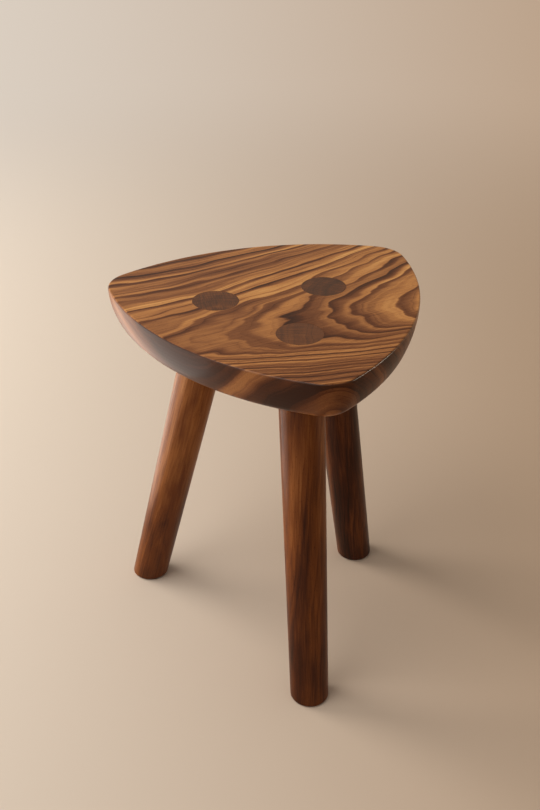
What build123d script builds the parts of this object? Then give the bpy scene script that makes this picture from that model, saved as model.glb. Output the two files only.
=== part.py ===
"""A three-legged wooden stool.

A thick slab seat, a triangle with bowed sides and round corners, stands on three turned legs.
Each leg leans out by its own angle. Its top is a full-width round tenon that runs right through
the seat and is cut flush with the sitting face, so its end grain shows there as a disc.

Frame: millimetres, +Z up, the origin on the floor under the seat's centre, and the seat's front
corner towards -Y.
"""

import os
from collections import namedtuple
from math import asin, cos, degrees, radians, sin, sqrt

from build123d import *

# Seat, seen from above: round corners joined by long arcs.
corner_count = 3
seat_height = 450  # floor to sitting face
seat_thickness = 50
corner_reach = 213  # seat centre to the tip of each corner
corner_radius = 44
side_radius = 361  # of the long arc between two corners
front_corner = -90  # degrees, the direction of the first corner

# Seat, seen from the side: it starts square to the sitting face and curls in under it.
side_curl_radius = 100
lower_edge_radius = 18
upper_edge_radius = 2

# Legs: round, of full width through the seat, then tapered to the foot.
tenon_diameter = 54
foot_diameter = 47
foot_chamfer = 3
glue_line = 0.1  # round each tenon, on the radius

# Mortises lie on one circle, and each leg leans away from its own. The three differ a little,
# because they were bored and set by hand. Angles are in degrees, anticlockwise from +X.
mortise_circle_radius = 76.5
mortise_circle_centre = (-5, -17)
Leg = namedtuple("Leg", "name mortise_angle splay lean_angle")
LEGS = (
    Leg("front_leg", mortise_angle=-89, splay=12.5, lean_angle=-97),
    Leg("right_leg", mortise_angle=29, splay=10.6, lean_angle=31),
    Leg("left_leg", mortise_angle=154, splay=15.1, lean_angle=135),
)

trim = 20  # spare stock past a face that is cut away afterwards

# How far from the seat's centre a corner arc's centre lies, and, on the other side of it, the
# centre that a long arc is swung about. The two arcs run into each other without a kink.
corner_centre = corner_reach - corner_radius
corner_step = 360 / corner_count
half_step = corner_step / 2
swing = side_radius - corner_radius
half_side = degrees(asin(corner_centre * sin(radians(half_step)) / swing))
side_centre = swing * cos(radians(half_side)) - corner_centre * cos(radians(half_step))


def polar(distance, angle):
    """The point at this distance and direction, as x and y."""
    return distance * cos(radians(angle)), distance * sin(radians(angle))


def seat_outline():
    """The rim seen from above, drawn into the line that is open: a side, a corner, and so on."""
    for step in range(corner_count):
        corner = front_corner + step * corner_step
        side = corner - half_step
        CenterArc(polar(-side_centre, side), side_radius, side - half_side, 2 * half_side)
        CenterArc(
            polar(corner_centre, corner),
            corner_radius,
            corner - (half_step - half_side),
            2 * (half_step - half_side),
        )


def mortise_plane(leg):
    """On the sitting face at the mortise, with Z up the leg's axis and X level."""
    circle_centre = Vector(*mortise_circle_centre, seat_height)
    centre = circle_centre + Vector(*polar(mortise_circle_radius, leg.mortise_angle))
    uphill = polar(sin(radians(leg.splay)), leg.lean_angle + 180)
    axis = Vector(*uphill, cos(radians(leg.splay)))
    return Plane(origin=centre, x_dir=Vector(*polar(1, leg.lean_angle + 90)), z_dir=axis)


os.makedirs("parts", exist_ok=True)

# The section of the seat at its rim, drawn flat: X outwards from the outline, Y up from the top.
curl_inset = side_curl_radius - sqrt(side_curl_radius**2 - seat_thickness**2)
rim_depth = curl_inset + lower_edge_radius
with BuildSketch() as rim:
    with BuildLine():
        curl = RadiusArc((0, 0), (-curl_inset, -seat_thickness), side_curl_radius)
        Polyline(curl @ 1, (-rim_depth, -seat_thickness), (-rim_depth, 0), curl @ 0)
    make_face()
    fillet(rim.vertices().sort_by(Axis.X)[-1], upper_edge_radius)
    fillet(rim.vertices().group_by(Axis.Y)[0].sort_by(Axis.X)[-1], lower_edge_radius)

# The seat slab: the outline as thick stock, with the waste round the rim's section swept away.
with BuildPart() as seat:
    with BuildLine(Plane.XY.offset(seat_height)) as outline:
        seat_outline()
    with BuildSketch(Plane.XY.offset(seat_height)):
        make_face(outline.edges())
    extrude(amount=-seat_thickness)

    start = outline.wire() @ 0
    along = outline.wire() % 0
    outward = along.cross(Vector(0, 0, 1))
    with BuildSketch(Plane(origin=start, x_dir=outward, z_dir=-along)) as waste:
        with Locations((-rim_depth, 0)):
            Rectangle(rim_depth + trim, seat_thickness, align=(Align.MIN, Align.MAX))
        add(rim.sketch, mode=Mode.SUBTRACT)
    sweep(sections=waste.sketch, path=outline.wire(), mode=Mode.SUBTRACT)

    with Locations(*[mortise_plane(leg) for leg in LEGS]):
        Hole(tenon_diameter / 2 + glue_line)
seat.part.label = "seat"
export_step(seat.part, "parts/seat.step")


def turned_leg(leg):
    """A leg, turned long, then cut flush with the sitting face and flat on the floor."""
    top = mortise_plane(leg)
    slant = 1 / cos(radians(leg.splay))
    shoulder = -seat_thickness * slant
    floor_end = -seat_height * slant
    tenon_radius = tenon_diameter / 2
    foot_radius = foot_diameter / 2
    narrowing = (tenon_radius - foot_radius) / (shoulder - floor_end)

    with BuildPart() as turned:
        with BuildSketch(Plane(origin=top.origin, x_dir=top.x_dir, z_dir=-top.y_dir)):
            with BuildLine():
                Polyline(
                    (0, trim),
                    (tenon_radius, trim),
                    (tenon_radius, shoulder),
                    (foot_radius - narrowing * trim, floor_end - trim),
                    (0, floor_end - trim),
                    close=True,
                )
            make_face()
        revolve(axis=Axis(top.origin, top.z_dir))
        split(bisect_by=Plane.XY.offset(seat_height), keep=Keep.BOTTOM)
        split(bisect_by=Plane.XY, keep=Keep.TOP)
        sole = turned.faces().sort_by(Axis.Z)[0]
        chamfer(sole.edges(), foot_chamfer)
    return turned.part


for leg in LEGS:
    piece = turned_leg(leg)
    piece.label = leg.name
    export_step(piece, f"parts/{leg.name}.step")
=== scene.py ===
# %% [markdown]
# # A three-legged stool in figured hardwood
#
# The stool is a thick slab on three turned legs. Its whole character is in the wood: a bold
# figure that sweeps over the seat, and four pieces that each came from another part of the tree.
# So this lesson spends a little on shape and much on grain. It loads the measured model as a
# fixed frame, makes finer pieces in its place, and then grows the wood inside them.

# %% Load the measured model
import bpy
from collections import namedtuple
from math import asin, cos, pi, radians, sin
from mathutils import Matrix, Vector


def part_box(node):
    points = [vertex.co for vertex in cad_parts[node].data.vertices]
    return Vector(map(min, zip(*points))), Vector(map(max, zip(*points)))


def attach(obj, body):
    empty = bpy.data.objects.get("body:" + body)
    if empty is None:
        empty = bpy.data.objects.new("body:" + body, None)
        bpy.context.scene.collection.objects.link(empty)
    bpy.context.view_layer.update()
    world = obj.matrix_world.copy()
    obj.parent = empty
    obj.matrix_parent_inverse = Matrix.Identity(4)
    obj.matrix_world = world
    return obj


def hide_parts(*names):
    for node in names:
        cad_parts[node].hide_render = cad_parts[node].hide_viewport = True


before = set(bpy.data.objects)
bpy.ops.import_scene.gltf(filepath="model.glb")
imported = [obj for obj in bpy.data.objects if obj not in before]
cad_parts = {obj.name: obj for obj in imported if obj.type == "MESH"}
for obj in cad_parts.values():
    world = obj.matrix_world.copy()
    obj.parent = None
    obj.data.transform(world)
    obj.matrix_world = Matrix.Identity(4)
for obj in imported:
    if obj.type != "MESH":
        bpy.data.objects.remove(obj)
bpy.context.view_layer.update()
print("nodes:", sorted(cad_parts))

# %% [markdown]
# ## Where the legs meet the seat
#
# The frame fixes where the pieces lie. These are the sizes that the seat and the legs share, in
# metres, and the angles in degrees, anticlockwise from +X as seen from above. The mortises lie on
# one circle, and each leg leans by its own angle, because they were bored and set by hand.

# %% Sizes that the pieces share
SITTING_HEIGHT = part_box("seat")[1].z
SEAT_THICKNESS = SITTING_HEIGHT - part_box("seat")[0].z
TENON_RADIUS = 0.027

MORTISE_CIRCLE_RADIUS = 0.0765
MORTISE_CIRCLE_CENTRE = (-0.005, -0.017)
Leg = namedtuple("Leg", "name mortise_angle splay lean_angle")
LEGS = (
    Leg("front_leg", mortise_angle=-89, splay=12.5, lean_angle=-97),
    Leg("right_leg", mortise_angle=29, splay=10.6, lean_angle=31),
    Leg("left_leg", mortise_angle=154, splay=15.1, lean_angle=135),
)


def polar(distance, angle):
    """The point at this distance and direction, as x and y."""
    return distance * cos(radians(angle)), distance * sin(radians(angle))


def mortise(leg):
    """Where this leg's axis comes out of the sitting face."""
    x, y = polar(MORTISE_CIRCLE_RADIUS, leg.mortise_angle)
    return Vector((MORTISE_CIRCLE_CENTRE[0] + x, MORTISE_CIRCLE_CENTRE[1] + y, SITTING_HEIGHT))


for leg in LEGS:
    print(leg.name, "comes out at", [round(1000 * value, 1) for value in mortise(leg)], "mm")

# %% [markdown]
# ## The camera
#
# A standing person looks down on the stool from a good metre away. A 50 mm lens keeps the
# legs from spreading, and the camera is level from side to side, so uprights lean only by
# perspective.

# %% Camera
CAMERA_PLACE = (-0.344, -1.163, 1.015)
CAMERA_HEADING = 74.05  # degrees, anticlockwise from +X
CAMERA_PITCH = -30.36  # degrees above the horizon
CAMERA_LENS = 50  # mm, on a sensor of 36 mm

camera = bpy.data.objects.new("camera", bpy.data.cameras.new("camera"))
camera.location = CAMERA_PLACE
camera.rotation_euler = (radians(90 + CAMERA_PITCH), 0, radians(CAMERA_HEADING - 90))
camera.data.lens = CAMERA_LENS
bpy.context.scene.collection.objects.link(camera)
bpy.context.scene.camera = camera
print("the camera is", round(Vector(CAMERA_PLACE).length, 2), "m from the floor under the seat")

# %% [markdown]
# ## Sums made of nodes
#
# Shapes and wood are both worked out by node trees here, and both are mostly sums. Wiring Math
# nodes by hand hides the sum, so a small class wraps an output socket and lets Python's own
# operators add the nodes. The class of the tree has one method for every other kind of node, and
# a few short ones for the nodes that come up again and again.

# %% A wire that can be reckoned with
class Wire:
    """An output socket that can be reckoned with: each operator adds the node that does it."""

    def __init__(self, graph, socket):
        self.graph, self.socket = graph, socket

    def __add__(self, other):
        return self.graph.sum("ADD", self, other)

    def __radd__(self, other):
        return self.graph.sum("ADD", other, self)

    def __sub__(self, other):
        return self.graph.sum("SUBTRACT", self, other)

    def __rsub__(self, other):
        return self.graph.sum("SUBTRACT", other, self)

    def __mul__(self, other):
        return self.graph.sum("MULTIPLY", self, other)

    def __rmul__(self, other):
        return self.graph.sum("MULTIPLY", other, self)

    def __truediv__(self, other):
        return self.graph.sum("DIVIDE", self, other)

    def __rtruediv__(self, other):
        return self.graph.sum("DIVIDE", other, self)

    def __pow__(self, other):
        return self.graph.sum("POWER", self, other)

    def __neg__(self):
        return self.graph.sum("MULTIPLY", self, -1)


print("a wire takes + - * / and **, with a number on either side of the first four")

# %% A tree that adds its own nodes
class Graph:
    """One node tree, of a material or of Geometry Nodes."""

    def __init__(self, tree):
        self.tree = tree

    def node(self, kind, settings=None, sockets=None, output=0):
        """Adds a node of this kind, its settings first, then the values or links of its sockets."""
        made = self.tree.nodes.new(kind)
        for name, value in (settings or {}).items():
            if name == "stops":
                self._set_stops(made.color_ramp, value)
            else:
                setattr(made, name, value)
        for key, value in (sockets or {}).items():
            socket = made.inputs[key]
            if isinstance(value, Wire):
                self.tree.links.new(value.socket, socket)
            elif socket.type == "VECTOR" and isinstance(value, (int, float)):
                socket.default_value = (value, value, value)
            else:
                socket.default_value = value
        return Wire(self, made.outputs[output]) if made.outputs else made

    @staticmethod
    def _set_stops(ramp, stops):
        """Gives a colour ramp these stops, each a place from 0 to 1 and a colour."""
        while len(ramp.elements) < len(stops):
            ramp.elements.new(1)
        for element, (position, colour) in zip(ramp.elements, stops):
            element.position = position
            element.color = colour

    def sum(self, operation, *terms):
        """A Math node, or a Vector Math node where a term is a vector."""
        vector = any(isinstance(term, Wire) and term.socket.type == "VECTOR" for term in terms)
        kind = "ShaderNodeVectorMath" if vector else "ShaderNodeMath"
        output = 1 if operation == "DOT_PRODUCT" else 0
        return self.node(kind, {"operation": operation}, dict(enumerate(terms)), output)

    def split(self, vector):
        """The x, y and z of a vector."""
        first = self.node("ShaderNodeSeparateXYZ", sockets={0: vector})
        return [Wire(self, socket) for socket in first.socket.node.outputs]

    def join(self, x, y, z):
        """A vector from its x, y and z."""
        return self.node("ShaderNodeCombineXYZ", sockets={0: x, 1: y, 2: z})

    def choose(self, test, if_so, if_not):
        """One of two numbers, where the test is 1 or 0."""
        return if_not + test * (if_so - if_not)

    def step(self, value, low, high):
        """0 at low, 1 at high, and a smooth way from one to the other."""
        sockets = {"Value": value, "From Min": low, "From Max": high}
        return self.node("ShaderNodeMapRange", {"interpolation_type": "SMOOTHSTEP"}, sockets)

    def mix(self, amount, first, second):
        """A colour between two colours."""
        sockets = {0: amount, 6: first, 7: second}
        return self.node("ShaderNodeMix", {"data_type": "RGBA"}, sockets, output=2)


print("a tree has", ", ".join(name for name in vars(Graph) if not name.startswith("_")))

# %% [markdown]
# ## A Geometry Nodes tree with named sizes
#
# Each tree lists its sizes as inputs. Whoever puts it on an object of their own can change them
# in the modifier panel. Here a tree is run, its result becomes a plain mesh, and the modifier
# goes.

# %% A tree for shapes
SMOOTH_UP_TO = radians(28)  # two faces that meet at more than this keep a crisp edge


class ShapeGraph(Graph):
    """A Geometry Nodes tree that starts with its named sizes and ends with a finished mesh."""

    def __init__(self, name, sizes):
        super().__init__(bpy.data.node_groups.new(name, "GeometryNodeTree"))
        interface = self.tree.interface
        interface.new_socket("Mesh", in_out="OUTPUT", socket_type="NodeSocketGeometry")
        self.identifiers = {}
        for label, value in sizes.items():
            socket = interface.new_socket(label, socket_type="NodeSocketFloat")
            socket.default_value = value
            self.identifiers[label] = socket.identifier
        finish = interface.new_socket("Finish", socket_type="NodeSocketMaterial")
        self.identifiers["Finish"] = finish.identifier
        self.inputs = self.node("NodeGroupInput").socket.node
        print(name, "takes", len(sizes), "sizes:", ", ".join(sizes))

    def size(self, label):
        """The input of this name."""
        return Wire(self, self.inputs.outputs[label])

    def position(self):
        """The x, y and z of each point."""
        return self.split(self.node("GeometryNodeInputPosition"))

    def put(self, shape, x, y, z):
        """The same shape, with each point put in a new place."""
        sockets = {"Geometry": shape, "Position": self.join(x, y, z)}
        return self.node("GeometryNodeSetPosition", sockets=sockets)

    def turn(self, shape, rotation, shift=(0, 0, 0)):
        """The same shape, turned as a whole about the origin and then shifted."""
        sockets = {"Geometry": shape, "Translation": shift, "Rotation": rotation}
        return self.node("GeometryNodeTransform", sockets=sockets)

    def close(self, mesh):
        """The tree's end: crisp edges where faces meet sharply, real instances and the finish."""
        angle = self.node("GeometryNodeInputMeshEdgeAngle")
        sharp = self.sum("GREATER_THAN", angle, SMOOTH_UP_TO)
        crisp = self.node(
            "GeometryNodeSetShadeSmooth",
            {"domain": "EDGE"},
            {"Geometry": mesh, "Selection": sharp, "Shade Smooth": False},
        )
        real = self.node("GeometryNodeRealizeInstances", sockets={0: crisp})
        finished = self.node(
            "GeometryNodeSetMaterial", sockets={"Geometry": real, "Material": self.size("Finish")}
        )
        self.node("NodeGroupOutput", sockets={0: finished})
        print(self.tree.name, "has", len(self.tree.nodes), "nodes")

    def make(self, name, finish, **sizes):
        """Runs the tree once, with some of its sizes changed, and keeps the result as a mesh."""
        holder = bpy.data.objects.new(name + "_holder", bpy.data.meshes.new(name + "_holder"))
        bpy.context.scene.collection.objects.link(holder)
        modifier = holder.modifiers.new("shape", "NODES")
        modifier.node_group = self.tree
        modifier[self.identifiers["Finish"]] = finish
        for label, value in sizes.items():
            modifier[self.identifiers[label.replace("_", " ")]] = value
        graph = bpy.context.evaluated_depsgraph_get()
        mesh = bpy.data.meshes.new_from_object(holder.evaluated_get(graph), depsgraph=graph)
        bpy.data.objects.remove(holder)
        mesh.name = name
        piece = bpy.data.objects.new(name, mesh)
        bpy.context.scene.collection.objects.link(piece)
        print(name, "has", len(mesh.vertices), "points and", len(mesh.polygons), "faces")
        return piece


print("edges sharper than", round(SMOOTH_UP_TO * 180 / pi), "degrees stay crisp")

# %% [markdown]
# ## A leaning, turned leg
#
# A leg is turned on a lathe, so every slice across it is a circle. The stool is easier to model
# by slices that lie level with the floor: such a slice of a leaning round leg is an ellipse, as
# wide as the leg one way and longer along the lean. So the tree stacks circles up a straight
# line, sets their radius by height, and then stretches and shears the stack. Both cut ends come
# out flat and level, as the saw leaves them, and there is no need for a boolean cut.
#
# The slices crowd towards both ends, where the foot is rounded and the tenon's edge is broken.

# %% Sizes of a leg
FOOT_RADIUS = 0.0235
FOOT_EDGE_RADIUS = 0.004
TENON_EDGE_RADIUS = 0.0002  # a sharp edge, just broken by sandpaper

leg_graph = ShapeGraph(
    "turned_leg",
    {
        "Height": SITTING_HEIGHT,
        "Tenon Radius": TENON_RADIUS,
        "Foot Radius": FOOT_RADIUS,
        "Tenon Depth": SEAT_THICKNESS,
        "Foot Edge": FOOT_EDGE_RADIUS,
        "Top Edge": TENON_EDGE_RADIUS,
        "Splay": radians(LEGS[0].splay),
        "Lean": radians(LEGS[0].lean_angle),
        "Top X": 0.0,
        "Top Y": 0.0,
    },
)

# %% The tree for a leg
AROUND_LEG = 144  # points round a slice
UP_LEG = 120  # slices


def crowded_line(graph, height):
    """An upright line with a point for each slice, crowded towards both ends."""
    line = graph.node(
        "GeometryNodeCurvePrimitiveLine", sockets={"End": graph.join(0, 0, height)}
    )
    even = graph.node("GeometryNodeResampleCurve", sockets={"Curve": line, "Count": UP_LEG})
    up = graph.position()[2] / height
    return graph.put(even, 0, 0, (1 - graph.sum("COSINE", up * pi)) * height / 2)


def rounded_off(graph, distance, radius):
    """How far a round edge of this radius draws in, at this distance from the end."""
    inside = graph.sum("MAXIMUM", radius - distance, 0)
    return radius - (radius * radius - inside * inside) ** 0.5


def leg_radius(graph, height):
    """The radius of each slice: the tenon, the taper, the round foot and the broken edge."""
    z = graph.position()[2]
    taper = {
        "Value": z,
        "From Max": height - graph.size("Tenon Depth"),
        "To Min": graph.size("Foot Radius"),
        "To Max": graph.size("Tenon Radius"),
    }
    radius = graph.node("ShaderNodeMapRange", sockets=taper)
    radius = radius - rounded_off(graph, z, graph.size("Foot Edge"))
    return radius - rounded_off(graph, height - z, graph.size("Top Edge"))


def leg_tree(graph):
    """Circles stacked up a line, given their radius, then stretched, sheared and put in place."""
    height, splay = graph.size("Height"), graph.size("Splay")
    slices = {
        "Curve": crowded_line(graph, height),
        "Profile Curve": graph.node(
            "GeometryNodeCurvePrimitiveCircle", sockets={"Resolution": AROUND_LEG, "Radius": 1.0}
        ),
        "Scale": leg_radius(graph, height),
        "Fill Caps": True,
    }
    upright = graph.node("GeometryNodeCurveToMesh", sockets=slices)
    x, y, z = graph.position()
    outwards = x / graph.sum("COSINE", splay) + (height - z) * graph.sum("TANGENT", splay)
    leaning = graph.put(upright, outwards, y, z)
    place = graph.join(graph.size("Top X"), graph.size("Top Y"), 0)
    graph.close(graph.turn(leaning, graph.join(0, 0, graph.size("Lean")), place))


leg_tree(leg_graph)

# %% [markdown]
# ## The seat, drawn by the way it faces
#
# Seen from above, the seat is six arcs that run into each other: three long sides and three
# tight corners. Seen in section, its rim is three arcs: a small round at the top, a wide curl
# that tucks the side in under the seat, and a soft lower edge. A bevel on a plain slab would give
# one of these arcs and not the other two.
#
# But on a chain of arcs without a kink, a point is known by the direction that the edge faces
# there: it is the centre of its arc plus the radius in that direction. The tree uses this rule
# twice on the side of a plain cylinder, once round the outline and once down the section. The
# cylinder's two flat ends become the sitting face and the underside, and three bores are cut for
# the tenons.

# %% Arcs of the outline
CORNER_REACH = 0.213  # from the seat's centre to the tip of a corner
CORNER_RADIUS = 0.044
SIDE_RADIUS = 0.361
FRONT_CORNER = -90  # degrees

HALF_WAY = pi / 3  # from a corner to the middle of a side
CORNER_CENTRE = CORNER_REACH - CORNER_RADIUS
SWING = SIDE_RADIUS - CORNER_RADIUS
HALF_SIDE = asin(CORNER_CENTRE * sin(HALF_WAY) / SWING)
SIDE_CENTRE = SWING * cos(HALF_SIDE) - CORNER_CENTRE * cos(HALF_WAY)
print("arcs are centred", round(1000 * CORNER_CENTRE), "and", round(1000 * SIDE_CENTRE), "mm out")

# %% Sizes of the seat
SIDE_CURL_RADIUS = 0.100
LOWER_EDGE_RADIUS = 0.018
UPPER_EDGE_RADIUS = 0.002
GLUE_LINE = 0.0001  # round each tenon, on the radius

seat_graph = ShapeGraph(
    "bowed_triangle_seat",
    {
        "Height": SITTING_HEIGHT,
        "Thickness": SEAT_THICKNESS,
        "Corner Radius": CORNER_RADIUS,
        "Side Radius": SIDE_RADIUS,
        "Corner Centre": CORNER_CENTRE,
        "Side Centre": SIDE_CENTRE,
        "Half Corner": HALF_WAY - HALF_SIDE,
        "Curl Radius": SIDE_CURL_RADIUS,
        "Upper Edge": UPPER_EDGE_RADIUS,
        "Lower Edge": LOWER_EDGE_RADIUS,
        "Bore Radius": TENON_RADIUS + GLUE_LINE,
    },
)

# %% Down the section and round the outline
def rim_section(graph, facing):
    """Down the section: how far in from the outline and how far below the top a point lies."""
    curl, thickness = graph.size("Curl Radius"), graph.size("Thickness")
    upper, lower = graph.size("Upper Edge"), graph.size("Lower Edge")
    low_swing, low_rise = curl - lower, thickness - lower
    upper_in = curl - ((curl - upper) ** 2 - upper**2) ** 0.5
    lower_in = curl - (low_swing**2 - low_rise**2) ** 0.5
    on_upper = graph.sum("GREATER_THAN", facing, -graph.sum("ARCSINE", upper / (curl - upper)))
    on_lower = graph.sum("LESS_THAN", facing, -graph.sum("ARCSINE", low_rise / low_swing))

    radius = graph.choose(on_upper, upper, graph.choose(on_lower, lower, curl))
    centre_in = graph.choose(on_upper, upper_in, graph.choose(on_lower, lower_in, curl))
    centre_down = graph.choose(on_upper, upper, on_lower * low_rise)
    inwards = centre_in - radius * graph.sum("COSINE", facing)
    downwards = centre_down - radius * graph.sum("SINE", facing)
    return inwards, downwards


def outline_point(graph, facing, inwards):
    """Round the outline: the point whose edge faces this way, this far in from the rim."""
    from_corner = graph.sum("WRAP", facing, HALF_WAY, -HALF_WAY)
    corner = facing - from_corner
    side = corner + graph.sum("SIGN", from_corner) * HALF_WAY
    aside = graph.sum("ABSOLUTE", from_corner)
    on_corner = graph.sum("LESS_THAN", aside, graph.size("Half Corner"))
    towards = graph.choose(on_corner, corner, side)
    centre = graph.choose(on_corner, graph.size("Corner Centre"), -graph.size("Side Centre"))
    arc = graph.choose(on_corner, graph.size("Corner Radius"), graph.size("Side Radius"))
    radius = arc - inwards
    x = centre * graph.sum("COSINE", towards) + radius * graph.sum("COSINE", facing)
    y = centre * graph.sum("SINE", towards) + radius * graph.sum("SINE", facing)
    return x, y


print("a long side turns through", round(2 * HALF_SIDE * 180 / pi), "degrees")

# %% The tree for the seat
AROUND_SEAT = 480  # points round the rim
DOWN_RIM = 60  # faces from the sitting face to the underside
BORE_MARGIN = 0.01  # how far a bore's cutter stands out of the slab


def bent_slab(graph):
    """A cylinder's side, bent to the rim. Its height runs over half a turn, as a facing does."""
    sizes = {"Vertices": AROUND_SEAT, "Side Segments": DOWN_RIM, "Radius": 1.0, "Depth": pi}
    drum = graph.node("GeometryNodeMeshCylinder", sockets=sizes)
    x, y, facing_up = graph.position()
    inwards, downwards = rim_section(graph, facing_up)
    rim_x, rim_y = outline_point(graph, graph.sum("ARCTAN2", y, x), inwards)
    slab = graph.put(drum, rim_x, rim_y, graph.size("Height") - downwards)
    return graph.turn(slab, (0, 0, radians(FRONT_CORNER)))


def bore_cutters(graph):
    """A cylinder through each mortise. Its middle is on the sitting face, so half is spare."""
    cutters = graph.node("GeometryNodeJoinGeometry")
    depth = 2 * (graph.size("Thickness") + BORE_MARGIN)
    sizes = {"Vertices": AROUND_LEG, "Radius": graph.size("Bore Radius"), "Depth": depth}
    for leg in LEGS:
        bore = graph.node("GeometryNodeMeshCylinder", sockets=sizes)
        lean = (0, -radians(leg.splay), radians(leg.lean_angle))
        leaning = graph.turn(bore, lean, mortise(leg))
        graph.tree.links.new(leaning.socket, cutters.socket.node.inputs[0])
    return cutters


def seat_tree(graph):
    """The slab less the bores."""
    bored = graph.node(
        "GeometryNodeMeshBoolean",
        {"operation": "DIFFERENCE", "solver": "EXACT"},
        {"Mesh 1": bent_slab(graph), "Mesh 2": bore_cutters(graph)},
    )
    graph.close(bored)


seat_tree(seat_graph)

# %% [markdown]
# ## Wood that goes all the way through
#
# A plank's figure is not painted on. A tree lays down one ring a year round its heart, and the
# figure is what a saw shows of those rings: long stripes where it runs across them, and nested
# arches where it skims along them. A picture of wood could be wrapped round the seat, but it
# would stretch on the rim and show no end grain. So the wood here is a solid. One sum gives
# every point of space a ring count, and each face shows its own cut through it.
#
# Colours are written as they look on a screen, because that is how one picks them. Nodes reckon
# in linear light, so `paint` turns the one into the other.

# %% A tree for finishes
MM = 1000  # wood is worked out in millimetres, because its rings and pores are a few of them


def paint(red, green, blue):
    """A colour given as it looks on a screen, from 0 to 255, in the linear form nodes use."""
    parts = [value / 255 for value in (red, green, blue)]
    linear = [v / 12.92 if v <= 0.04045 else ((v + 0.055) / 1.055) ** 2.4 for v in parts]
    return (*linear, 1)


class FinishGraph(Graph):
    """The node tree of a new material, with the nodes that wood needs most."""

    def __init__(self, name):
        self.material = bpy.data.materials.new(name)
        self.material.use_nodes = True
        super().__init__(self.material.node_tree)
        self.tree.nodes.clear()

    def close(self, surface):
        """The tree's end: this surface is the material's."""
        self.node("ShaderNodeOutputMaterial", sockets={0: surface})
        print(self.material.name, "has", len(self.tree.nodes), "nodes")
        return self.material

    def place(self):
        """Where the point lies, in millimetres."""
        return self.node("ShaderNodeTexCoord", output="Object") * MM

    def noise(self, place, detail=1.0, roughness=0.5, seed=0, output=0):
        """Smooth noise about 0.5, with lumps about 1 across. Another seed is another part of it."""
        moved = place + (7.3 * seed, 3.1 * seed, 5.7 * seed)
        sockets = {"Vector": moved, "Scale": 1.0, "Detail": detail, "Roughness": roughness}
        return self.node("ShaderNodeTexNoise", sockets=sockets, output=output)

    def shake(self, place, seed=0):
        """Three smooth noises at once, as a vector about 0, to move a point by."""
        as_colour = self.noise(place, seed=seed, output=1)
        terms = {0: as_colour, 1: (0.5, 0.5, 0.5)}
        return self.node("ShaderNodeVectorMath", {"operation": "SUBTRACT"}, terms)

    def ramp(self, value, stops):
        """A colour from a row of stops."""
        return self.node("ShaderNodeValToRGB", {"stops": stops}, {0: value})


def squeeze(grain, length, width):
    """A place along and across the grain, counted in lumps of this size in millimetres."""
    return grain * (1 / length, 1 / width, 1 / width)


print("mid grey is", round(paint(128, 128, 128)[0], 3), "in linear light")

# %% [markdown]
# ## The surface of oiled hardwood
#
# All four pieces are oiled and rubbed, so they share one surface. Close up, two things lie over
# the rings. Fibres run along the grain like combed thread, and pores, the cut-open vessels that
# carried the sap, are short dark dashes. Both are plain textures squeezed across the grain:
# noise forty times as long as it is wide makes thread, and the cells of a Voronoi texture, six
# times as long, make dashes. They tint the colour and also drive the bump.
#
# Oil leaves a soft shine. A thin clear coat carries it, and the wood under the coat reflects
# almost nothing, because a veil of studio light makes dark wood look milky. End grain drinks
# the oil and scatters light, so it is a little greyer and rougher.

# %% Fibres, pores and oil
DUSTY = paint(104, 80, 64)  # what end grain is mixed with
THIN_COAT = 0.16  # of a full clear coat
SATIN = 0.38  # roughness
RELIEF = 0.00015  # metres, from the top of a fibre to the bottom of a pore


def facing_along(graph, direction, low=0.45, high=0.95):
    """1 where a face looks along this direction, either way, and 0 where it looks aside."""
    normal = graph.node("ShaderNodeTexCoord", output="Normal")
    facing = graph.sum("ABSOLUTE", graph.sum("DOT_PRODUCT", normal, direction))
    return graph.step(facing, low, high)


def oiled_wood(graph, grain, end, tone, stops, dust, coat=THIN_COAT):
    """The finish of a tone from 0 to 1. On faces across the grain end is 1, and dust greys them."""
    thread = squeeze(grain, length=40, width=0.9)
    fibres = graph.noise(thread, detail=3.0, roughness=0.6, seed=6) - 0.5
    cells = {"Vector": squeeze(grain, length=7, width=1.2), "Scale": 1.0}
    pores = 1 - graph.step(graph.node("ShaderNodeTexVoronoi", sockets=cells), 0.1, 0.22)

    colour = graph.ramp(tone + fibres * 0.3 - pores * 0.2, stops)
    colour = graph.mix(end * dust, colour, DUSTY)
    relief = {"Height": fibres * 0.5 - pores, "Strength": 0.35, "Distance": RELIEF}
    surface = graph.node(
        "ShaderNodeBsdfPrincipled",
        sockets={
            "Base Color": colour,
            "Roughness": SATIN + fibres * 0.12 + pores * 0.2 + end * 0.06,
            "Normal": graph.node("ShaderNodeBump", sockets=relief),
            "Specular IOR Level": 0.08,
            "Coat Weight": coat,
            "Coat Roughness": 0.15,
        },
    )
    return graph.close(surface)


print("a fibre stands", round(1e6 * RELIEF), "thousandths of a millimetre above a pore")

# %% [markdown]
# ## The rings in the seat
#
# The board for the seat was sawn just past the heart of a bent trunk. Its sitting face shows one
# set of arches. Their feet run off to the left as stripes, and their crowns nest right of the
# middle, between the front mortise and the right one. A flat cut through a cone of rings is a
# hyperbola, so the count behind the heart line follows one: it rises slowly, which makes the
# stripes there wide. In front of that line it rises evenly and twice as fast, which makes
# narrow ones. The larger count holds, with a soft corner between the two. Depth adds to the
# count as well, so the figure runs on down the rim.

# %% Count the seat's rings
HEART_BLUNTNESS = 105  # mm, how round the crowns of the arches are
RINGS_BEHIND = 0.040  # rings per millimetre behind the heart line
RINGS_IN_FRONT = 0.075
RINGS_DOWN = 0.055
SOFT_CORNER = 0.5  # how softly one count hands over to the other


def bow(x, middle, slope, bend):
    """A gently bent line over x, from its height at x = 0, its slope there and its bend."""
    return middle + slope * x + bend * x * x


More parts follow.
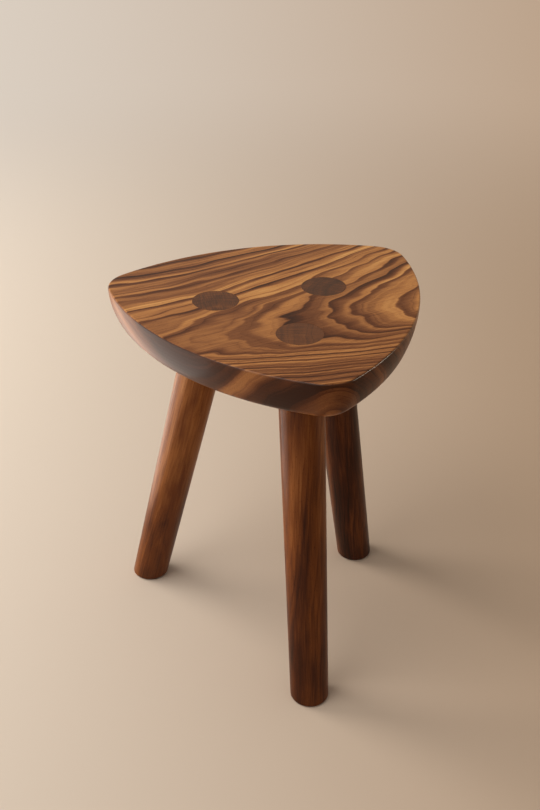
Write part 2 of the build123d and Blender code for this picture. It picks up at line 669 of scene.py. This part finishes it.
def seat_rings(graph, place):
    """The ring count at a place in the slab."""
    x, y, z = graph.split(place)
    behind = y - bow(x, middle=-76, slope=0.16, bend=-0.0003)
    far = RINGS_BEHIND * ((behind * behind + HEART_BLUNTNESS**2) ** 0.5 - HEART_BLUNTNESS)
    far = far + bow(x, middle=0, slope=-0.0125, bend=-0.00003) + 0.000035 * x * behind
    near = RINGS_IN_FRONT * (bow(x, middle=-118, slope=-0.10, bend=0.0004) - y)
    gap = far - near
    larger = (far + near + (gap * gap + SOFT_CORNER) ** 0.5) / 2
    return larger + RINGS_DOWN * (MM * SITTING_HEIGHT - z)


print("rings are", round(1 / RINGS_BEHIND), "mm apart at the back,", end=" ")
print(round(1 / RINGS_IN_FRONT), "mm at the front and", round(1 / RINGS_DOWN), "mm down the rim")

# %% [markdown]
# ## Rings that waver, and dark years
#
# Real rings waver with every season and branch. So a point is shaken by slow noise before its
# rings are counted, and the count is moved a little by two finer ones. The flanks of the
# arches, which are the high counts, lie calmer than the crowns.
#
# Most years are faint and a few are strong. A strong year darkens slowly and stops at once when
# growth does, so its line is soft on one side and crisp on the other. Which years are strong
# could be left to chance, but a list puts the boldest lines where they are wanted.

# %% Waver and dark years
DARK_YEARS = (-2.1, -1.05, -0.5, 0.15, 0.95, 1.5, 2.2, 2.95, 3.95, 4.95, 5.6, 6.3, 7.4, 8.6)
CRISP = 0.16  # the width of a dark year's crisp side, as a share of its soft one


def wavering_rings(graph, place, grain):
    """The ring count with the tree's waves in it, and how far out on the arches' flanks it is."""
    waves = graph.shake(squeeze(grain, length=110, width=55), seed=1) * 9
    rings = seat_rings(graph, place + waves)
    flank = graph.step(rings, 0.6, 2.4)
    drift = graph.noise(squeeze(grain, length=70, width=30), seed=2) - 0.5
    ripple = graph.noise(squeeze(grain, length=30, width=9), seed=12) - 0.5
    return rings + drift * (0.95 - 0.45 * flank) + ripple * (0.13 - 0.03 * flank), flank


def dark_years(graph, rings, width):
    """1 at the end of a dark year, which has this width in rings, and 0 between them."""
    total = 0
    for year in DARK_YEARS:
        since = (rings - year) / width
        total = graph.step(since, -1, 0.0) * (1 - graph.step(since, 0.0, CRISP)) + total
    return total


print(len(DARK_YEARS), "dark years over", round(DARK_YEARS[-1] - DARK_YEARS[0], 1), "rings")

# %% [markdown]
# ## The seat's figure
#
# The tone is built in layers, from wide to fine, as one would glaze a painting: bands of good
# and poor years, streaks that follow the rings, the dark years, thin lines between them, and
# last the threads of the grain. Each layer is noise that is read by ring count across the
# rings and by millimetres along them, so it bends wherever they bend.
#
# The rim is a slanting cut through the same rings. There the lines blur into broad cloudy
# patches. The front corner, which faces away from the window, is painted darkest: painted shade.

# %% Tones of the sitting face
FINE_YEARS = 2.9  # to a ring


def layer(graph, rings, along, per_ring, length, beside=0.0, detail=1.0, seed=0):
    """Noise that bends with the rings: so many lumps to a ring, and so many millimetres long."""
    place = graph.join(rings * per_ring, along / length, beside)
    return graph.noise(place, detail=detail, seed=seed)


def threads(graph, grain, seed):
    """The threads of the grain, about 0."""
    place = squeeze(grain, length=60, width=2.2)
    return graph.noise(place, detail=2.0, seed=seed) - 0.5


def face_tone(graph, grain, rings, flank):
    """How much lighter or darker than its mean the sitting face is."""
    along, _, up = graph.split(grain)
    bands = layer(graph, rings, along, per_ring=1.4, length=300, beside=0.3, seed=3)
    streaks = layer(graph, rings, along, per_ring=7, length=200, beside=up / 60, seed=4)
    tone = bands - 0.5 + (streaks - 0.5) * (0.3 + 0.4 * flank)

    strength = layer(graph, rings, along, per_ring=1.3, length=130, beside=up / 90, seed=5)
    strength = 0.45 + 0.55 * graph.step(strength, 0.25, 0.6)
    tone = tone - dark_years(graph, rings, 0.42 - 0.14 * flank) * strength * 0.55

    thin = graph.sum("FRACT", rings * FINE_YEARS + bands * 1.5)
    thin_line = thin**9 * (1 - graph.step(thin, 0.94, 1.0))
    strength = layer(graph, rings, along, per_ring=2.3, length=90, beside=up / 70, seed=7)
    tone = tone - thin_line * graph.step(strength, 0.3, 0.7) * (0.2 + 0.6 * flank)
    return tone + threads(graph, grain, seed=15) * 0.3


print("thin lines are", round(1 / (RINGS_IN_FRONT * FINE_YEARS), 1), "mm apart at the front")

# %% Tones of the rim
RIM_TONE = 0.35  # from 0 to 1
PATCHES = 0.38  # to a ring


def rim_tone(graph, place, rings, figure, end):
    """How light the rim is: the face's figure, much fainter, under cloudy patches."""
    x, y, _ = graph.split(place)
    patches = layer(
        graph, rings, x, per_ring=PATCHES, length=150, beside=0.5, detail=2.0, seed=39
    )
    patches = graph.step(patches, 0.28, 0.72) - 0.5
    tone = RIM_TONE + figure * (0.32 - 0.24 * end) + patches * 0.8 - end * 0.12
    # Painted shade: the front corner of the rim, turned away from the window, is made darker.
    painted_shade_front_corner = graph.step(y, -150, -205)
    left_end = graph.step(x, -90, -160)
    return tone - painted_shade_front_corner * 0.21 - left_end * 0.04


print("a patch on the rim is about", round(1 / PATCHES / RINGS_DOWN), "mm high")

# %% [markdown]
# ## The seat's finish
#
# The grain runs a few degrees off straight, as it does when a shape is laid on a board to catch
# the best figure. Three masks come from the way that a face looks: sideways is the rim, along
# the fibres is end grain, and between level and upright is the arris, the narrow edge round the
# sitting face, which hands have rubbed to a shine. Towards the back the sitting face is painted a
# little lighter and livelier: painted light, which stands in for sunlight falling there. The ramp
# runs from the near black of a latewood line to the straw of the early wood beside it.

# %% Finish the seat
SEAT_FIBRES = 14  # degrees from +X
FACE_TONE = 0.61
SEAT_COLOURS = (
    (0.0, paint(50, 22, 8)),
    (0.25, paint(88, 45, 19)),
    (0.5, paint(130, 79, 43)),
    (0.75, paint(182, 122, 67)),
    (1.0, paint(220, 163, 96)),
)


def arris(graph):
    """1 on the narrow edge round the sitting face, which looks neither up nor aside."""
    up = graph.split(graph.node("ShaderNodeTexCoord", output="Normal"))[2]
    return graph.step(up, 0.05, 0.25) * (1 - graph.step(up, 0.75, 0.95))


def seat_wood():
    """The finish of the slab, all over."""
    graph = FinishGraph("seat_wood_figured")
    place = graph.place()
    turn = {"Vector": place, "Angle": radians(-SEAT_FIBRES)}
    grain = graph.node("ShaderNodeVectorRotate", {"rotation_type": "Z_AXIS"}, turn)
    rings, flank = wavering_rings(graph, place, grain)
    figure = face_tone(graph, grain, rings, flank)

    end = facing_along(graph, (*polar(1, SEAT_FIBRES), 0))
    rim = 1 - facing_along(graph, (0, 0, 1), 0.5, 0.9)
    # Painted light: the back of the sitting face is made lighter and bolder, where sunlight falls.
    back = graph.step(graph.split(place)[1], -130, 60)
    on_face = FACE_TONE + 0.09 * back + figure * (0.85 + 0.15 * back)
    on_rim = rim_tone(graph, place, rings, figure, end)
    tone = on_face + rim * 0.95 * (on_rim - on_face)
    coat = THIN_COAT + arris(graph) * (1 - THIN_COAT)
    return oiled_wood(graph, grain, end, tone, SEAT_COLOURS, dust=0.08, coat=coat)


seat_finish = seat_wood()

# %% [markdown]
# ## Three legs from three sticks
#
# A leg is turned from a stick whose rings circle a heart that lay outside it. So a ring is a
# long line down the leg, and an arc in the disc on the sitting face. The grain is laid along
# the leg's own leaning axis: the lines then follow the turning, and the disc is true end grain.
#
# The sticks came from different boards. The left leg is a warm light brown that darkens towards
# the foot, the front one is a middle brown with a paler side, and the right one is nearly
# black. One function makes all three from a row of values each, which keeps them related
# without being copies.

# %% What the three sticks are like
# Where the heart lay, in degrees and millimetres, the width of a ring, how fast the rings run out
# of the leg, and which part of the noise it takes. Then how light it is, from 0 to 1, below the
# seat, at the foot and across its end, how bold its figure is, and which side is how much paler.
LegWood = namedtuple(
    "LegWood",
    "heart_angle heart_distance ring_width run_out seed "
    "top_tone foot_tone end_tone contrast pale_angle paler",
    defaults=(0, 0),
)
LEG_WOODS = {
    "front_leg": LegWood(
        heart_angle=-15, heart_distance=120, ring_width=7.0, run_out=0.10, seed=134,
        top_tone=0.43, foot_tone=0.27, end_tone=0.42, contrast=0.85, pale_angle=-10, paler=0.17,
    ),
    "right_leg": LegWood(
        heart_angle=-40, heart_distance=90, ring_width=6.0, run_out=0.06, seed=150,
        top_tone=0.31, foot_tone=0.22, end_tone=0.28, contrast=1.0,
    ),
    "left_leg": LegWood(
        heart_angle=-95, heart_distance=60, ring_width=8.0, run_out=0.05, seed=142,
        top_tone=0.68, foot_tone=0.38, end_tone=0.38, contrast=0.9,
    ),
}
LEG_COLOURS = (
    (0.0, paint(30, 13, 5)),
    (0.25, paint(66, 29, 9)),
    (0.5, paint(108, 57, 21)),
    (0.75, paint(150, 93, 46)),
    (1.0, paint(188, 132, 76)),
)


def square_to(axis, angle):
    """The direction at this angle as seen from above, tipped until it is square to the axis."""
    level = Vector((*polar(1, angle), 0))
    return (level - level.dot(axis) * axis).normalized()


def leg_axis(leg):
    """The direction up this leg."""
    return Vector((*polar(-sin(radians(leg.splay)), leg.lean_angle), cos(radians(leg.splay))))


for leg in LEGS:
    print(leg.name, "points up along", [round(value, 3) for value in leg_axis(leg)])

# %% [markdown]
# ## The legs' figure
#
# The ring count is the distance to the heart, divided by a ring's width. Waves bend it, and a
# little run-out lets the rings leave the leg at a slant, as they do in any stick that wasn't
# split along its fibres. Over the bands lie mottling, which is the light playing on wavy fibres,
# fine streaks, and here and there the crisp line of a year. Rays, the thin spokes between heart
# and bark, show only across the end.

# %% Rings and figure of a leg
def leg_rings(graph, wood, grain, along):
    """The ring count in a leg."""
    waves = graph.shake(squeeze(grain, length=150, width=60), seed=wood.seed) * 16
    _, near, side = graph.split(grain + waves)
    from_heart = wood.heart_distance - near
    distance = (from_heart * from_heart + side * side) ** 0.5 + along * wood.run_out
    ripple = graph.noise(squeeze(grain, length=50, width=9), seed=wood.seed + 1) - 0.5
    return distance / wood.ring_width + ripple * 0.55


def leg_figure(graph, wood, grain, rings, along, side):
    """How much lighter or darker than its mean the leg is."""
    seed = wood.seed
    bands = layer(graph, rings, along, per_ring=0.5, length=260, beside=0.3, seed=seed + 2)
    streaks = layer(
        graph, rings, along, per_ring=2.6, length=120, beside=side / 40, detail=2.0, seed=seed + 3
    )
    mottle = graph.noise(squeeze(grain, length=75, width=16), detail=2.0, seed=seed + 6)
    year = graph.sum("FRACT", rings + bands)
    line = year**5 * (1 - graph.step(year, 0.92, 1.0))
    strength = layer(graph, rings, along, per_ring=0.8, length=90, seed=seed + 4)
    line = line * graph.step(strength, 0.35, 0.7)
    figure = (bands - 0.5) * 0.65 + (mottle - 0.5) * 0.5 + (streaks - 0.5) * 0.3 - line * 0.26
    return figure * wood.contrast


for name, wood in LEG_WOODS.items():
    print(name, "shows", round(2 * MM * TENON_RADIUS / wood.ring_width), "rings across")

# %% Finish the legs
STARTS_TO_DARKEN, DARKEST = -220, -410  # mm up the leg from its top


def leg_wood(leg):
    """The finish of one leg, laid along it, with end grain on its top and its sole."""
    wood = LEG_WOODS[leg.name]
    graph = FinishGraph(leg.name + "_wood")
    axis = leg_axis(leg)
    to_heart = square_to(axis, wood.heart_angle)
    beside = axis.cross(to_heart)
    place = graph.place() - tuple(MM * mortise(leg))
    directions = (axis, to_heart, beside, square_to(axis, wood.pale_angle))
    along, near, side, pale = [graph.sum("DOT_PRODUCT", place, tuple(d)) for d in directions]
    grain = graph.join(along, near, side)
    rings = leg_rings(graph, wood, grain, along)
    figure = leg_figure(graph, wood, grain, rings, along, side)

    towards_foot = graph.step(along, STARTS_TO_DARKEN, DARKEST)
    tone = wood.top_tone + towards_foot * (wood.foot_tone - wood.top_tone) + figure
    tone = tone + threads(graph, grain, seed=wood.seed + 7) * 0.28
    tone = tone + graph.step(pale, -5, 25) * wood.paler

    end = facing_along(graph, tuple(axis))
    rays = graph.noise(graph.join(near / 30, side / 0.8, along / 3), seed=wood.seed + 5) - 0.5
    across_ends = wood.end_tone + figure * 0.8 + rays * 0.6
    tone = tone + end * (across_ends - tone)
    return oiled_wood(graph, grain, end, tone, LEG_COLOURS, dust=0.3)


leg_finishes = {leg.name: leg_wood(leg) for leg in LEGS}

# %% [markdown]
# ## The four pieces
#
# Now the trees are run. Each piece stands in for the plain solid of the same part, and rides
# on the one body that a stool without joints has. The legs differ only in two angles and a place,
# which are inputs of their tree, so one tree makes all three.

# %% Make the seat and the legs
seat = seat_graph.make("seat_slab", seat_finish)
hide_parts("seat")
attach(seat, "root")

for leg in LEGS:
    place = mortise(leg)
    piece = leg_graph.make(
        leg.name + "_turned",
        leg_finishes[leg.name],
        Splay=radians(leg.splay),
        Lean=radians(leg.lean_angle),
        Top_X=place.x,
        Top_Y=place.y,
    )
    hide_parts(leg.name)
    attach(piece, "root")

# %% [markdown]
# ## A pale floor without an end
#
# The stool stands on a plain matt floor, pale on the window's side. On the other side shade is
# painted into its colour, which turns dimmer there: painted shade. A small floor shows its edge,
# and a large one turns dark where the lamps no longer reach. So far from the stool this one slowly
# stops being a lit surface, and only glows in its own colour, and only for what looks at it: the
# camera, and reflections. It sheds no light on the stool that way. Close to the stool it is an
# ordinary floor, and the shadows fall on it.

# %% Floor
PALE_SIDE = paint(226, 216, 204)
# Painted shade: the floor and backdrop colour is darker on the side away from the window.
SHADED_SIDE_PAINTED = paint(178, 148, 119)
AWAY_FROM_WINDOW = (*polar(1, -16), 0)
FLOOR_HALF = 20  # metres
LIT_UP_TO, GLOWS_FROM = 700, 2800  # mm from the stool
EVEN_UP_TO = 1800  # mm, nearer than this the two colours run together


def backdrop(graph, place, reach):
    """The studio's colour in this direction, with painted shade on the side away from the window.
    """
    across = graph.sum("DOT_PRODUCT", place, AWAY_FROM_WINDOW) / reach
    return graph.mix(graph.step(across, -0.45, 0.45), PALE_SIDE, SHADED_SIDE_PAINTED)


def looked_at(graph):
    """1 for rays that look at the studio, straight or in a reflection, and 0 for light itself."""
    rays = graph.node("ShaderNodeLightPath").socket.node.outputs
    kinds = ("Camera", "Glossy", "Transmission")
    camera_ray, glossy, clear = [Wire(graph, rays[f"Is {kind} Ray"]) for kind in kinds]
    return graph.sum("MINIMUM", camera_ray + glossy + clear, 1)


def floor_finish():
    """Matt near the stool, and glowing far from it."""
    graph = FinishGraph("floor_pale")
    place = graph.place()
    x, y, _ = graph.split(place)
    reach = (x * x + y * y) ** 0.5
    colour = backdrop(graph, place, reach + EVEN_UP_TO)
    lit = graph.node("ShaderNodeBsdfDiffuse", sockets={"Color": colour})
    glow = graph.node("ShaderNodeEmission", sockets={"Color": colour, "Strength": 1.0})
    far_off = graph.step(reach, LIT_UP_TO, GLOWS_FROM) * looked_at(graph)
    return graph.close(graph.node("ShaderNodeMixShader", sockets={0: far_off, 1: lit, 2: glow}))


corners = [(x * FLOOR_HALF, y * FLOOR_HALF, 0) for x, y in ((-1, -1), (1, -1), (1, 1), (-1, 1))]
floor_mesh = bpy.data.meshes.new("floor")
floor_mesh.from_pydata(corners, [], [(0, 1, 2, 3)])
floor_mesh.materials.append(floor_finish())
floor = bpy.data.objects.new("floor", floor_mesh)
bpy.context.scene.collection.objects.link(floor)

# %% [markdown]
# ## The room's own light
#
# A world in one pale colour stands for the walls and the ceiling. It lights the stool weakly and
# evenly, so that no shadow is black. What is seen of it, straight or in a reflection, is the
# backdrop at full strength, which meets the floor without a line.

# %% World
SKY_LIGHT = 0.38
SKY_COLOUR = paint(255, 246, 235)

world = bpy.data.worlds.new("studio")
world.use_nodes = True
world.node_tree.nodes.clear()
bpy.context.scene.world = world
studio = Graph(world.node_tree)
direction = studio.node("ShaderNodeTexCoord", output="Generated")
seen = looked_at(studio)
# The backdrop seen here has the same painted shade away from the window as the floor.
sky = {
    "Color": studio.mix(seen, SKY_COLOUR, backdrop(studio, direction, 1)),
    "Strength": SKY_LIGHT + seen * (1 - SKY_LIGHT),
}
studio.node("ShaderNodeOutputWorld", sockets={0: studio.node("ShaderNodeBackground", sockets=sky)})
print("the room lights the stool at", SKY_LIGHT, "of white")

# %% [markdown]
# ## Window light and two reflectors
#
# The light comes from a large window at the left. A broad sun and a large disc give it from
# above, and a second disc, low and further back, models the legs and draws the shadows out to
# the right. All are wide, so every shadow is soft. Neither disc shows in reflections, because
# the flat top would mirror it as a white patch to whoever looks from across the stool.
#
# Shine gets lights of its own. A face mirrors what lies across from the eye, and the rim, which
# curls in under the seat, looks down at the floor. So the pale sheen on its left end comes from
# a card that lies on the floor there. A warm strip at the right draws the thin bright line along
# the seat's edge. It stands lower than the sitting face, which then can't mirror it from any
# side. Card and strip are seen in reflections alone, and light nothing else.

# %% Lamps
AIM = Vector((0, 0, 0.3))  # metres, the middle of the stool


def lamp(kind, name, azimuth, elevation, distance, power, colour, **settings):
    """A lamp of this kind that looks at the stool from this direction, in degrees."""
    light = bpy.data.lights.new(name, kind)
    light.energy, light.color = power, colour
    for setting, value in settings.items():
        setattr(light, setting, value)
    holder = bpy.data.objects.new(name, light)
    away = Vector((*polar(cos(radians(elevation)), azimuth), sin(radians(elevation))))
    holder.location = AIM + distance * away
    holder.rotation_euler = away.to_track_quat("Z", "Y").to_euler()
    holder.visible_camera = False
    bpy.context.scene.collection.objects.link(holder)
    print(name, "stands at", [round(value, 2) for value in holder.location])
    return holder


lamp(
    "SUN", "daylight", azimuth=190, elevation=60, distance=3,
    power=0.35, colour=(1, 0.98, 0.95), angle=radians(50),
)
key = lamp(
    "AREA", "key_light", azimuth=192, elevation=46, distance=2.4,
    power=22, colour=(1, 0.97, 0.92), shape="DISK", size=2.2,
)
window = lamp(
    "AREA", "window_light", azimuth=140, elevation=7, distance=3.2,
    power=150, colour=(1, 0.95, 0.88), shape="DISK", size=2.2,
)
for disc in (key, window):
    disc.visible_glossy = False
bpy.context.scene.view_settings.view_transform = "Standard"

# %% Reflectors
strip = lamp(
    "AREA", "edge_strip", azimuth=-14, elevation=-4, distance=2,
    power=8, colour=(1, 0.88, 0.72), shape="RECTANGLE", size=1.2, size_y=0.25,
)
card = lamp(
    "AREA", "floor_card", azimuth=149, elevation=-17.3, distance=0.977,
    power=6, colour=(1, 0.96, 0.91), shape="DISK", size=1.1,
)
card.rotation_euler = (pi, 0, 0)  # flat on the floor, facing up
for reflector in (strip, card):
    reflector.visible_diffuse = False

# %% [markdown]
# ## The stool's size
#
# The dressed stool has to be as large as the measured one.
